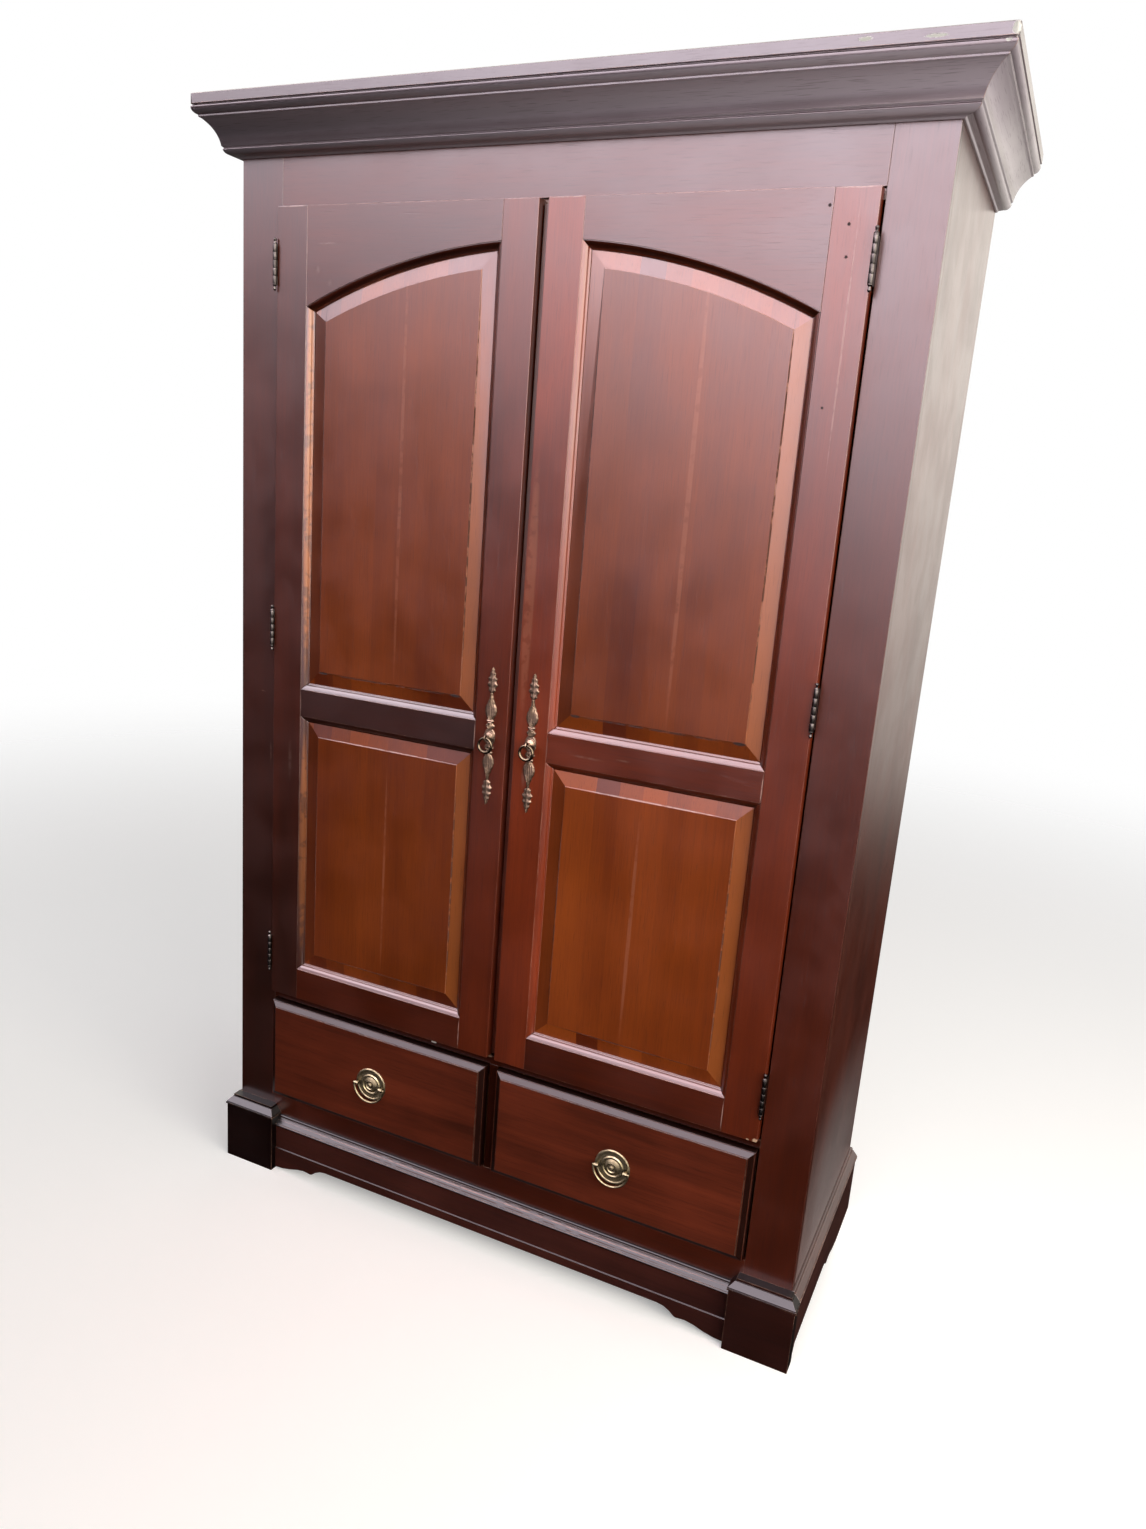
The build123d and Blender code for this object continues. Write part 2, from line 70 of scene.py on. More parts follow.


# ---------------------------------------------------------------- marks of use, and painted light and shade

# Colour and strength of each kind of mark; some are marks of use, some painted light and shade, some both
MARK_KINDS = {
    # Dark spots: nail holes in the door frames, and painted shadow at the lower corners of the upper panels'
    # raised fields
    "dark_spot": ((0.006, 0.003, 0.003), 0.95),
    # Painted shadow line under a raised field's lower edge
    "shadow_line": ((0.012, 0.004, 0.003), 0.85),
    "chip": ((0.620, 0.420, 0.280), 0.90),
    "paint": ((0.850, 0.850, 0.820), 0.95),
    # Rubbed light lines on edges and joints, and a painted highlight on the lower panels' top shoulders
    "rub_and_highlight": ((0.520, 0.330, 0.290), 0.75),
    # Light lines on edges and joints; on the apron moulding a painted highlight
    "line": ((0.420, 0.230, 0.190), 0.45),
    "seam": ((0.420, 0.150, 0.085), 0.38),
    "scuff": ((0.450, 0.300, 0.250), 0.22),
    "shade": ((0.006, 0.002, 0.001), 0.75),
    # Painted sheen, a greyer and lighter reflection
    "grey_sheen": ((0.300, 0.280, 0.290), 0.70),
    # Painted warm light
    "warm_light": ((0.480, 0.160, 0.050), 0.65),
    # Painted shade in creases and along the edges of raised fields
    "crease_shade": ((0.020, 0.006, 0.003), 0.85),
}

# Marks that dull the lacquer, that aren't broken up, that have ragged edges and that fade from their middle
DULL_MARKS = ("dark_spot", "shadow_line", "chip", "paint", "crease_shade")
WHOLE_MARKS = ("dark_spot", "chip", "paint", "shade", "grey_sheen")
RAGGED_MARKS = ("chip", "paint", "scuff")
SOFT_MARKS = ("shade", "grey_sheen", "scuff")

# Y of the faces that the marks lie on, in millimetres
DOOR_FACE = -234
CASE_FACE = -217
FIELD_FACE = -226.5
SEAM_FACE = -227.8
BASE_FACE = -222
CORNICE_FACE = -279


def mark(kind, x, z, half_wide, half_high, y=DOOR_FACE, half_deep=10):
    """Kind, middle and half lengths of a mark, taken in millimetres and given in metres."""
    return kind, (x / 1000, y / 1000, z / 1000), (half_wide / 1000, half_deep / 1000, half_high / 1000)


def side_creases(way, z, half_high):
    """Painted shade: dark lines along the left and right edges of a door panel's raised field."""
    return [mark("crease_shade", x * way, z, 1.8, half_high, FIELD_FACE) for x in (106.6, 410.4)]


CORNICE_CHIPS = (
    mark("paint", 473.4, 2033, 11, 3.2, CORNICE_FACE, 20),
    mark("paint", 562.6, 2030, 17, 2.6, CORNICE_FACE, 20),
    mark("paint", 657.5, 2032, 6, 9, CORNICE_FACE, 20),
    mark("paint", 650, 2020, 4.5, 3, CORNICE_FACE, 20),
)

MARKS = {
    "door_right_hinge_stile": (
        mark("dark_spot", 471.5, 1823.5, 3, 3),
        mark("dark_spot", 473.1, 1781.5, 2.8, 2.8),
        mark("dark_spot", 466, 1582, 2.4, 2.4),
        mark("line", 483.5, 1670, 1.8, 200),
        mark("rub_and_highlight", 478.5, 1870.2, 33, 1.4),
        mark("chip", 506.5, 411, 5, 4),
        mark("chip", 494.2, 409.5, 3, 2.2),
    ),
    "door_right_top_rail": (
        mark("dark_spot", 442, 1848.1, 3, 3),
        mark("line", 260, 1870.4, 200, 1),
        mark("line", 446.4, 1845, 0.7, 30),
        mark("line", 70.6, 1845, 0.7, 35),
    ),
    "door_right_meeting_stile": (
        mark("rub_and_highlight", 39, 1870.2, 34, 1.6),
        mark("scuff", 30, 960, 6, 30),
        mark("seam", 19, 1270, 11, 240),
    ),
    "door_right_mid_rail": (
        mark("rub_and_highlight", 446, 1012, 1, 26),
        mark("line", 71, 1014, 0.8, 26),
        mark("scuff", 145, 1010, 40, 3),
        mark("scuff", 210, 1016, 18, 2.5),
    ),
    "door_right_bottom_rail": (mark("rub_and_highlight", 446, 440, 0.8, 30),),
    "door_left_hinge_stile": (
        # Painted warm light on the sticking, which faces the light on the right
        mark("warm_light", -440.5, 1430, 7.5, 400, -228, 20),
        mark("warm_light", -440.5, 730, 7.5, 250, -228, 20),
        mark("rub_and_highlight", -478, 1870.2, 33, 1.6),
        mark("scuff", -470, 900, 6, 50),
        mark("shade", -478, 500, 150, 900, half_deep=150),
    ),
    "door_left_top_rail": (
        mark("line", -260, 1870.4, 200, 1.2),
        mark("scuff", -405, 1811, 28, 2.2),
        mark("scuff", -423.1, 1769, 6, 9),
        mark("scuff", -397.6, 1750, 6, 8),
        mark("line", -446.3, 1815, 0.9, 60),
        mark("line", -70.6, 1845, 0.7, 35),
    ),
    "door_left_meeting_stile": (mark("line", -40, 1870.3, 32, 1.2),),
    "door_left_mid_rail": (
        mark("rub_and_highlight", -71, 1012, 1, 26),
        mark("rub_and_highlight", -446.2, 1012, 0.8, 24),
    ),
    "door_left_bottom_rail": (mark("rub_and_highlight", -71, 440, 0.8, 30),),
    "door_right_upper_panel": (
        *side_creases(1, 1420, 400),
        mark("seam", 276.5, 1440, 5, 420, SEAM_FACE, 4),
        # Painted shadow under the raised field's lower edge, darkest at its two ends
        mark("shadow_line", 258.5, 1074.8, 170, 2.1, FIELD_FACE),
        mark("dark_spot", 115, 1075.5, 11, 3.2, FIELD_FACE),
        mark("dark_spot", 400, 1075.5, 13, 3.6, FIELD_FACE),
    ),
    "door_left_upper_panel": (
        *side_creases(-1, 1420, 400),
        mark("seam", -246, 1440, 4.2, 420, SEAM_FACE, 4),
        # Painted shadow under the raised field's lower edge, darkest at its two ends
        mark("shadow_line", -258.5, 1074.8, 170, 1.8, FIELD_FACE),
        mark("dark_spot", -401, 1075.5, 12, 3, FIELD_FACE),
        mark("dark_spot", -118, 1075.5, 12, 3.6, FIELD_FACE),
    ),
    "door_right_lower_panel": (
        # Painted shadow under the raised field's lower edge, and painted shade along its sides
        mark("crease_shade", 258.5, 507.5, 165, 1.9, FIELD_FACE),
        *side_creases(1, 712, 250),
        mark("seam", 247, 720, 4.2, 230, SEAM_FACE, 4),
        # Painted highlight on the raised field's top shoulder
        mark("rub_and_highlight", 258.5, 952.4, 150, 1.6, -227),
    ),
    "door_left_lower_panel": (
        # Painted shadow under the raised field's lower edge, and painted shade along its sides
        mark("crease_shade", -258.5, 507.5, 165, 1.9, FIELD_FACE),
        *side_creases(-1, 712, 250),
        mark("seam", -253, 720, 2.8, 230, SEAM_FACE, 4),
        # Painted highlight on the raised field's top shoulder
        mark("rub_and_highlight", -258.5, 952.4, 150, 1.4, -227),
    ),
    # Painted sheen, greyer and lighter over the lower part of the right side
    "side_panel_right": (mark("grey_sheen", 622, 180, 80, 360, 30, 550),),
    "stile_left": (
        mark("shade", -560, 400, 200, 1500, CASE_FACE, 200),
        mark("scuff", -550, 1020, 10, 1.6, CASE_FACE),
        mark("scuff", -530, 900, 3, 30, CASE_FACE),
    ),
    "deck_board": (
        mark("paint", -131.9, 395.6, 7, 2.2, CASE_FACE, 20),
        mark("chip", -10, 403, 6, 2, CASE_FACE, 20),
    ),
    "apron_moulding": (
        # Painted shade in the moulding's two hollows, with a painted highlight between them
        mark("crease_shade", 0, 108.5, 600, 1, BASE_FACE, 30),
        mark("line", 0, 112.5, 600, 1.1, BASE_FACE, 30),
        mark("crease_shade", 0, 115, 600, 0.8, BASE_FACE, 30),
    ),
    "crown_front": CORNICE_CHIPS,
    "cornice_top": CORNICE_CHIPS,
    "crown_right": (
        mark("paint", 662, 2030, 10, 12, -270, 20),
        mark("paint", 662, 1995, 10, 6, -180, 4),
    ),
}


# ---------------------------------------------------------------- settings

def colour(name, description, default):
    return FloatVectorProperty(
        name=name, description=description, default=default, subtype="COLOR", size=3, min=0, max=1)


def share(name, description, default):
    return FloatProperty(name=name, description=description, default=default, subtype="FACTOR", min=0, max=1)


def length(name, description, default):
    return FloatProperty(
        name=name, description=description, default=default, unit="LENGTH", min=0, precision=4)


def rotation(name, description, default):
    return FloatProperty(name=name, description=description, default=default, unit="ROTATION")


def brightness(name, description, default):
    return FloatProperty(name=name, description=description, default=default, min=0)


def watts(name, description, default):
    return FloatProperty(name=name, description=description, default=default, unit="POWER", min=0)


class ArmoireWood(bpy.types.PropertyGroup):
    """Stain and lacquer of the boards, and the light and shade painted on them."""
    case_dark: colour("Case, dark", "Dark figure of the case and the door frames", (0.042, 0.006, 0.002))
    case_light: colour("Case, light", "Light figure of the case and the door frames", (0.160, 0.024, 0.006))
    panel_dark: colour("Panels, dark", "Dark figure of the door panels", (0.090, 0.013, 0.002))
    panel_light: colour("Panels, light", "Light figure of the door panels", (0.250, 0.050, 0.007))
    # Painted warm light on the panels' slopes that turn to the right
    border: colour("Panels, border", "Warm figure of the panels' right-hand slopes", (0.420, 0.130, 0.030))
    drawer_dark: colour("Drawers, dark", "Dark figure of the drawer fronts", (0.040, 0.009, 0.005))
    drawer_light: colour("Drawers, light", "Light figure of the drawer fronts", (0.185, 0.034, 0.015))
    cornice_dark: colour("Cornice, dark", "Dark figure of the cornice", (0.055, 0.028, 0.026))
    cornice_light: colour("Cornice, light", "Light figure of the cornice", (0.110, 0.085, 0.100))
    # Painted reflection on the cornice's undersides, stronger towards the right
    bloom: colour("Cornice, bloom", "Hazy bloom on the cornice's undersides", (0.310, 0.270, 0.320))
    base_dark: colour("Base, dark", "Dark figure of the plinth", (0.014, 0.005, 0.005))
    base_light: colour("Base, light", "Light figure of the plinth", (0.075, 0.020, 0.014))
    inside_dark: colour("Inside, dark", "Dark figure of the boards inside", (0.060, 0.020, 0.010))
    inside_light: colour("Inside, light", "Light figure of the boards inside", (0.230, 0.095, 0.045))
    raw_dark: colour("Drawer boxes, dark", "Dark figure of the pale drawer boxes", (0.220, 0.120, 0.055))
    raw_light: colour("Drawer boxes, light", "Light figure of the pale drawer boxes", (0.480, 0.310, 0.160))
    # Colour of rubbed edges, which also stands for a painted highlight along them
    worn_and_lit_edge: colour("Worn edge", "Colour where the stain is rubbed off an edge", (0.420, 0.240, 0.170))
    roughness: share("Lacquer roughness", "Roughness of the satin lacquer", 0.31)
    coat: share("Lacquer coat", "Strength of the clear coat", 0.45)
    # How much of each edge is rubbed and lit by a painted highlight
    wear: share("Edge wear", "How much of each edge is rubbed", 0.55)
    stave: length("Stave width", "Width of the glued strips in a door panel", 0.042)
    eased: length("Eased edge", "Radius on every board's sharp edges", 0.0009)


class ArmoireBrass(bpy.types.PropertyGroup):
    """Colours of the metal."""
    plate: colour("Door plates", "Antiqued brass of the long door plates", (0.225, 0.155, 0.110))
    ring: colour("Door rings", "Dark brass of the drop rings", (0.120, 0.092, 0.060))
    bail: colour("Drawer pulls", "Olive brass of the drawer pulls", (0.275, 0.230, 0.140))
    hinge: colour("Hinges", "Dark bronze of the hinges", (0.085, 0.075, 0.070))
    steel: colour("Rail", "Plated steel of the clothes rail", (0.560, 0.560, 0.560))
    patina: share("Patina", "How much of the metal has darkened", 0.6)


class ArmoireStage(bpy.types.PropertyGroup):
    """Camera, floor and lights."""
    place: FloatVectorProperty(
        name="Camera place", description="Where the camera stands", subtype="TRANSLATION", size=3,
        default=(0.8541, -1.8811, 1.4545))
    turn: rotation("Turn", "Camera's turn to its left", 0.41853)
    tilt: rotation("Tilt", "Camera's tilt above the level", -0.24976)
    roll: rotation("Roll", "Camera's roll", 0.07749)
    lens: FloatProperty(name="Lens", description="Focal length in millimetres", default=26.07, min=1)
    floor_size: length("Floor radius", "Radius of the floor", 9.0)
    floor_colour: colour("Floor", "Colour of the floor", (0.90, 0.90, 0.90))
    sky: brightness("Sky", "Strength of the light from above", 0.55)
    mirror: brightness("Mirrored sky", "Strength of the sky in gloss", 11.0)
    right: watts("Right light", "Power of the warm light on the right", 55)
    key: watts("Side light", "Power of the large soft light", 34)


class ArmoireSettings(bpy.types.PropertyGroup):
    """Everything that can be changed about the armoire's looks."""
    wood: PointerProperty(type=ArmoireWood)
    brass: PointerProperty(type=ArmoireBrass)
    stage: PointerProperty(type=ArmoireStage)


def settings():
    return bpy.context.scene.armoire


# ---------------------------------------------------------------- shader helpers

def add(tree, kind, options=None, **inputs):
    """New node with its options set and its inputs filled or wired."""
    made = tree.nodes.new(kind)
    for key, value in (options or {}).items():
        setattr(made, key, value)
    for key, value in inputs.items():
        feed(tree, value, made.inputs[key.replace("_", " ")])
    return made


def feed(tree, value, socket):
    """Wire an output to a socket, or set the socket to a plain value."""
    if isinstance(value, bpy.types.NodeSocket):
        tree.links.new(value, socket)
    else:
        socket.default_value = value


def calc(tree, operation, *values, clamp=False):
    made = add(tree, "ShaderNodeMath", {"operation": operation, "use_clamp": clamp})
    for value, socket in zip(values, made.inputs):
        feed(tree, value, socket)
    return made.outputs[0]


def vector_calc(tree, operation, *values):
    made = add(tree, "ShaderNodeVectorMath", {"operation": operation})
    for value, socket in zip(values, made.inputs):
        feed(tree, value, socket)
    return made.outputs["Value" if operation in ("DOT_PRODUCT", "LENGTH") else "Vector"]


def noise(tree, vector, scale, detail=2.0, roughness=0.5, distortion=0.0):
    made = add(tree, "ShaderNodeTexNoise", Vector=vector, Scale=scale, Detail=detail,
               Roughness=roughness, Distortion=distortion)
    return made.outputs["Fac"]


def window(tree, value, low, high, to_low=0.0, to_high=1.0):
    """Smooth step from to_low at low to to_high at high."""
    made = add(tree, "ShaderNodeMapRange", {"interpolation_type": "SMOOTHSTEP"}, Value=value,
               From_Min=low, From_Max=high, To_Min=to_low, To_Max=to_high)
    return made.outputs["Result"]


def blend(tree, factor, first, second, mode="MIX"):
    made = add(tree, "ShaderNodeMix", {"data_type": "RGBA", "blend_type": mode})
    feed(tree, factor, made.inputs[0])
    feed(tree, first, made.inputs[6])
    feed(tree, second, made.inputs[7])
    return made.outputs[2]


def rgba(value):
    return (*value, 1.0)


def dimmed(value, by):
    """A colour made darker by a factor."""
    return rgba([channel * by for channel in value])


def new_group(name, inputs, outputs):
    """Empty node group with its sockets; returns the tree, its input node and its output node."""
    tree = bpy.data.node_groups.new(name, "ShaderNodeTree")
    for in_out, sockets in (("INPUT", inputs), ("OUTPUT", outputs)):
        for label, kind in sockets:
            tree.interface.new_socket(label, in_out=in_out, socket_type="NodeSocket" + kind)
    return tree, tree.nodes.new("NodeGroupInput"), tree.nodes.new("NodeGroupOutput")


def use(tree, group, **inputs):
    """Outputs of a group placed in a tree, with its inputs filled or wired."""
    return add(tree, "ShaderNodeGroup", {"node_tree": group}, **inputs).outputs


# ---------------------------------------------------------------- shared effects

# Waves per metre of each part of the wood's figure: across the grain twice, then along it
SWAY_WAVES = (2, 2, 0.7)
STREAK_WAVES = (26, 26, 1.2)
FIBRE_WAVES = (330, 330, 9)
CLOUD_WAVES = (6, 6, 2.6)
PORE_WAVES = (800, 800, 26)
SWAY = 0.006
FIBRE_CONTRAST = 0.5


def waves(tree, position, along, *look):
    """Noise stretched to so many waves per metre along X, Y and Z."""
    return noise(tree, vector_calc(tree, "MULTIPLY", position, along), 1.0, *look)


def wood_figure():
    """Grain that runs along Z: staves, streaks, clouds of stain and open pores."""
    found = bpy.data.node_groups.get("Wood figure")
    if found:
        return found
    inputs = [("Position", "Vector"), ("Stave Width", "Float"), ("Stave Contrast", "Float"),
              ("Streak Contrast", "Float"), ("Cloud Contrast", "Float")]
    outputs = [("Tone", "Float"), ("Pores", "Float"), ("Height", "Float")]
    tree, given, result = new_group("Wood figure", inputs, outputs)
    take = given.outputs
    parts = add(tree, "ShaderNodeSeparateXYZ", Vector=take["Position"]).outputs
    sway = waves(tree, take["Position"], SWAY_WAVES, 1.0)
    across = calc(tree, "MULTIPLY_ADD", sway, SWAY, parts["X"])
    stave = calc(tree, "FLOOR", calc(tree, "DIVIDE", across, take["Stave Width"]))
    chance = add(tree, "ShaderNodeTexWhiteNoise", {"noise_dimensions": "1D"}, W=stave).outputs["Value"]
    shift = add(tree, "ShaderNodeCombineXYZ", X=0.0, Y=calc(tree, "MULTIPLY", chance, 3.1),
                Z=calc(tree, "MULTIPLY", chance, 7.7)).outputs[0]
    moved = vector_calc(tree, "ADD", take["Position"], shift)
    streak = waves(tree, moved, STREAK_WAVES, 5.0, 0.55, 0.5)
    fibre = waves(tree, moved, FIBRE_WAVES, 4.0, 0.65)
    cloud = waves(tree, take["Position"], CLOUD_WAVES, 3.0, 0.55)
    tone = 0.5
    for value, contrast in ((streak, take["Streak Contrast"]), (cloud, take["Cloud Contrast"]),
                            (chance, take["Stave Contrast"]), (fibre, FIBRE_CONTRAST)):
        centred = calc(tree, "SUBTRACT", value, 0.5)
        tone = calc(tree, "MULTIPLY_ADD", centred, contrast, tone)
    pores = window(tree, waves(tree, moved, PORE_WAVES, 1.0), 0.60, 0.70)
    height = calc(tree, "MULTIPLY_ADD", pores, -0.6, calc(tree, "MULTIPLY", fibre, 0.5))
    feed(tree, calc(tree, "ADD", tone, 0.0, clamp=True), result.inputs["Tone"])
    feed(tree, pores, result.inputs["Pores"])
    feed(tree, height, result.inputs["Height"])
    return tree


# How far the corners are searched for grime and painted shade
GRIME_AND_SHADE_REACH = 0.009


def edge_wear():
    """Rubbed outer edges, lighter, which also paint a highlight along them; grime and painted shade in the
    inner corners.
    """
    found = bpy.data.node_groups.get("Edge wear")
    if found:
        return found
    inputs = [("Position", "Vector"), ("Width", "Float"), ("Amount", "Float")]
    tree, given, result = new_group("Edge wear", inputs, [("Wear and highlight", "Float"), ("Grime and shade", "Float")])
    take = given.outputs
    rounded = add(tree, "ShaderNodeBevel", {"samples": 6}, Radius=take["Width"]).outputs[0]
    flat = add(tree, "ShaderNodeNewGeometry").outputs["Normal"]
    bend = calc(tree, "SUBTRACT", 1.0, vector_calc(tree, "DOT_PRODUCT", rounded, flat))
    hemmed = add(tree, "ShaderNodeAmbientOcclusion", {"samples": 6, "only_local": True}, Distance=GRIME_AND_SHADE_REACH)
    open_air = hemmed.outputs["AO"]
    patchy = noise(tree, take["Position"], 38.0, 4.0, 0.65)
    limit = calc(tree, "MULTIPLY_ADD", take["Amount"], -0.5, 0.75)
    patchy = window(tree, patchy, calc(tree, "SUBTRACT", limit, 0.14), calc(tree, "ADD", limit, 0.14))
    outer = calc(tree, "MULTIPLY", window(tree, bend, 0.015, 0.14), window(tree, open_air, 0.80, 0.95))
    feed(tree, calc(tree, "MULTIPLY", outer, patchy, clamp=True), result.inputs["Wear and highlight"])
    feed(tree, window(tree, open_air, 0.85, 0.35), result.inputs["Grime and shade"])
    return tree


def metal_patina():
    """Dark patches and small dents on old brass."""
    found = bpy.data.node_groups.get("Metal patina")
    if found:
        return found
    inputs = [("Position", "Vector"), ("Amount", "Float")]
    tree, given, result = new_group("Metal patina", inputs, [("Patina", "Float"), ("Height", "Float")])
    take = given.outputs
    broad = noise(tree, take["Position"], 90.0, 4.0, 0.6)
    fine = noise(tree, take["Position"], 900.0, 3.0, 0.6)
    mixed = calc(tree, "MULTIPLY_ADD", fine, 0.35, calc(tree, "MULTIPLY", broad, 0.65))
    limit = calc(tree, "MULTIPLY_ADD", take["Amount"], -0.4, 0.7)
    mask = window(tree, mixed, calc(tree, "SUBTRACT", limit, 0.12), calc(tree, "ADD", limit, 0.12))
    feed(tree, mask, result.inputs["Patina"])
    feed(tree, mixed, result.inputs["Height"])
    return tree


# ---------------------------------------------------------------- materials

def grain_position(tree, grain, seed):
    """The piece's own coordinates with the grain turned to run along Z, moved on by seed."""
    own = add(tree, "ShaderNodeTexCoord").outputs["Object"]
    parts = add(tree, "ShaderNodeSeparateXYZ", Vector=own).outputs
    order = GRAIN_ORDER[grain]
    along = add(tree, "ShaderNodeCombineXYZ", X=parts[order[0]], Y=parts[order[1]], Z=parts[order[2]])
    return own, vector_calc(tree, "ADD", along.outputs[0], (0.0, seed * 1.37, seed * 2.91))


def new_material(name):
    """Node material with an empty tree, its Principled shader and its output wired."""
    made = bpy.data.materials.new(name)
    made.use_nodes = True
    tree = made.node_tree
    tree.nodes.clear()
    shader = add(tree, "ShaderNodeBsdfPrincipled")
    output = add(tree, "ShaderNodeOutputMaterial")
    tree.links.new(shader.outputs["BSDF"], output.inputs["Surface"])
    return made, tree, shader


def mark_mask(tree, place, middle, halves, core):
    """Oval round a middle, with its half lengths along X, Y and Z, full within its core."""
    away = vector_calc(tree, "DIVIDE", vector_calc(tree, "SUBTRACT", place, middle), halves)
    return window(tree, vector_calc(tree, "LENGTH", away), 1.0, core)


def light_and_shade_by_facing(tree, base, facing, own, dark, rim, border, bloom):
    """Paint light and shade by the way a face turns: warm light when it turns right, shade when it turns
    left, darker when it leaves the front, and shade when it turns down unless a sheen colour is given, which
    paints a reflection there, stronger to the right.
    """
    if border is not None:
        # Painted light on faces that turn to the right, painted shade on those that turn to the left
        base = blend(tree, window(tree, facing["X"], 0.05, 0.20, 0.0, 0.7), base, rgba(border))
        base = blend(tree, window(tree, facing["X"], -0.05, -0.20, 0.0, 0.7), base, dimmed(dark, 0.5))
    if rim < 1:
        edge = window(tree, calc(tree, "ABSOLUTE", facing["Y"]), 0.99, 0.93)
        base = blend(tree, edge, base, dimmed(dark, rim))
    if bloom is None:
        # Painted shade on faces that turn down
        under = calc(tree, "MULTIPLY", window(tree, facing["Z"], -0.3, -0.6), 0.7)
        return blend(tree, under, base, dimmed(dark, 0.2))
    # Painted reflection on faces that turn down, stronger towards the right
    parts = add(tree, "ShaderNodeSeparateXYZ", Vector=own).outputs
    across = window(tree, parts["X"], -0.7, 0.6, 0.45, 1.0)
    under = calc(tree, "MULTIPLY", window(tree, facing["Z"], -0.15, -0.45), across)
    return blend(tree, under, base, rgba(bloom))


def add_marks(tree, base, own, marks):
    """Lay a board's marks over its base colour; also gives the mask of those that dull the lacquer."""
    ragged = add(tree, "ShaderNodeTexNoise", Vector=own, Scale=260.0, Detail=3.0).outputs["Color"]
    ragged = vector_calc(tree, "MULTIPLY_ADD", ragged, (0.003, 0.0, 0.003), (-0.0015, 0.0, -0.0015))
    ragged = vector_calc(tree, "ADD", own, ragged)
    broken = window(tree, noise(tree, own, 55.0, 3.0), 0.36, 0.52, 0.35, 1.0)
    dull = None
    for kind, middle, halves in marks:
        tone, most = MARK_KINDS[kind]
        core = 0.0 if kind in SOFT_MARKS else 0.6
        mask = mark_mask(tree, ragged if kind in RAGGED_MARKS else own, middle, halves, core)
        if kind not in WHOLE_MARKS:
            mask = calc(tree, "MULTIPLY", mask, broken)
        mask = calc(tree, "MULTIPLY", mask, most)
        base = blend(tree, mask, base, rgba(tone))
        if kind in DULL_MARKS:
            dull = mask if dull is None else calc(tree, "MAXIMUM", dull, mask)
    return base, dull


# Widths over which edges are rubbed and given a painted highlight, and the roughness of the clear coat
WOOD_EDGE = 0.0016
METAL_EDGE = 0.0008
COAT_ROUGHNESS = 0.23


def lacquered_wood(name, dark, light, grain="Z", seed=0, stave=10.0, stave_contrast=0.0, end_contrast=0.0,
                   streak=0.8, cloud=1.3, wear=1.0, gloss=1.0, shine=1.0, rim=1.0, border=None, bloom=None,
                   marks=()):
    """Stained wood under satin lacquer. A sheen colour paints a reflection on the faces that turn down, which
    are otherwise painted in shade; rim darkens those that leave the front, and a side-light colour
    paints warm light on those that turn to the right and shade on those that turn to the left."""
    wood = settings().wood
    made, tree, shader = new_material(name)
    own, position = grain_position(tree, grain, seed)
    facing = add(tree, "ShaderNodeTexCoord").outputs["Normal"]
    facing = add(tree, "ShaderNodeSeparateXYZ", Vector=facing).outputs
    tilted = window(tree, calc(tree, "ABSOLUTE", facing["Z"]), 0.04, 0.10)
    contrast = calc(tree, "MULTIPLY_ADD", tilted, end_contrast, stave_contrast)
    figure = use(tree, wood_figure(), Position=position, Stave_Width=stave, Stave_Contrast=contrast,
                 Streak_Contrast=streak, Cloud_Contrast=cloud)
    edges = use(tree, edge_wear(), Position=own, Width=WOOD_EDGE, Amount=wood.wear * wear)
    base = blend(tree, figure["Tone"], rgba(dark), rgba(light))
    base = light_and_shade_by_facing(tree, base, facing, own, dark, rim, border, bloom)
    # Dark pores, grime and painted shade in the inner corners, and rubbed edges that also paint a highlight
    # along them
    coverings = ((figure["Pores"], 0.3, dimmed(dark, 0.35)), (edges["Grime and shade"], 0.75, dimmed(dark, 0.25)),
                 (edges["Wear and highlight"], 0.8, rgba(wood.worn_and_lit_edge)))
    for mask, most, tone in coverings:
        base = blend(tree, calc(tree, "MULTIPLY", mask, most), base, tone)
    dull = None
    if marks:
        base, dull = add_marks(tree, base, own, marks)
    feed(tree, base, shader.inputs["Base Color"])
    middling = wood.roughness * gloss
    rough = window(tree, noise(tree, position, 9.0, 3.0), 0.3, 0.7, middling * 0.93, middling * 1.2)
    rough = calc(tree, "MULTIPLY_ADD", edges["Wear and highlight"], 0.15, rough)
    rough = calc(tree, "MULTIPLY_ADD", figure["Pores"], 0.08, rough)
    coat = wood.coat * shine
    shader.inputs["Coat Weight"].default_value = coat
    if dull is not None:
        rough = calc(tree, "MAXIMUM", rough, dull)
        feed(tree, calc(tree, "MULTIPLY_ADD", dull, -coat, coat, clamp=True), shader.inputs["Coat Weight"])
    feed(tree, rough, shader.inputs["Roughness"])
    shader.inputs["Specular IOR Level"].default_value = 0.5 * shine
    shader.inputs["Coat Roughness"].default_value = COAT_ROUGHNESS
    bump = add(tree, "ShaderNodeBump", Strength=0.16, Distance=0.0004, Height=figure["Height"])
    feed(tree, bump.outputs[0], shader.inputs["Normal"])
    return made


